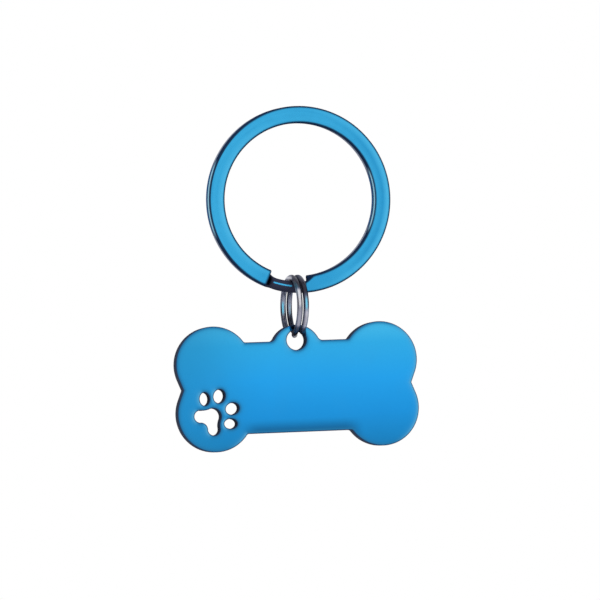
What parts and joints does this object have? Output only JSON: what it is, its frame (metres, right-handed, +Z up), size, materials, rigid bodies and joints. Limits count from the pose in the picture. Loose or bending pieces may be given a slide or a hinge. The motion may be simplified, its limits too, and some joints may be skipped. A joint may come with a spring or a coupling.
{
  "type": "pet id tag",
  "caption": "Bone-shaped blue metal pet tag with a paw print cut through it, hung by a small round-wire split ring from a flat-band split key ring.",
  "frame": {"origin": "the top of the key ring's inner face, in its mid-plane, where the collar's ring or a hook carries it", "axes": "+Z up as it hangs, +X to the right seen from the front, -Y towards the front, which is the side of the key ring's full turn above the crank's left end"},
  "size_m": [0.0397, 0.0102, 0.0555],
  "materials": {
    "blue_band": "polished steel with a blue vapour coating",
    "dark_wire": "polished round wire with a darker, slate-blue coating",
    "blue_plate": "polished steel plate with a blue vapour coating"
  },
  "bodies": {
    "key_ring": {"key_ring": "blue_band"},
    "link_ring": {"link_ring": "dark_wire"},
    "bone_tag": {"bone_tag": "blue_plate"}
  },
  "joints": [
    {"name": "link_swing", "type": "hinge", "parent": "key_ring", "child": "link_ring", "pos_m": [-0.00067, 0, -0.0263], "axis": [0.9963, 0.0854, 0], "range_deg": [-90, 90]},
    {"name": "tag_swing", "type": "hinge", "parent": "link_ring", "child": "bone_tag", "pos_m": [-0.00067, -0.00038, -0.03481], "axis": [0, 0.9976, -0.0698], "range_deg": [-20, 28]}
  ]
}
